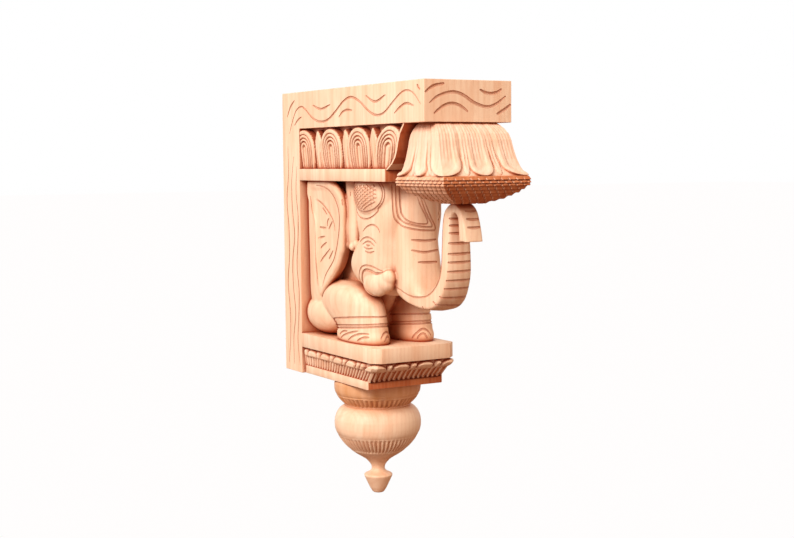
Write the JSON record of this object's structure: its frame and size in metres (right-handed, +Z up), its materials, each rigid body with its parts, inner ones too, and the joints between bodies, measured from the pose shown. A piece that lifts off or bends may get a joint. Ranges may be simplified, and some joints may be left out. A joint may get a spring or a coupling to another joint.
{
  "type": "carved elephant bracket",
  "caption": "Wooden wall bracket: a back board and top beam carried by a standing elephant, with a lotus capital on its raised trunk and a turned pendant below.",
  "frame": {"origin": "centre of the board's flat back face, which lies on the wall", "axes": "+Z up, +Y into the wall, the beam's front end and the trunk towards -Y, X across the block"},
  "size_m": [0.102, 0.342, 0.4463],
  "materials": {
    "carved_wood": "raw planed and carved wood, unfinished",
    "turned_wood": "raw turned wood, sanded smooth"
  },
  "bodies": {
    "root": {"carved_bracket": "carved_wood", "turned_pendant": "turned_wood"}
  },
  "joints": []
}
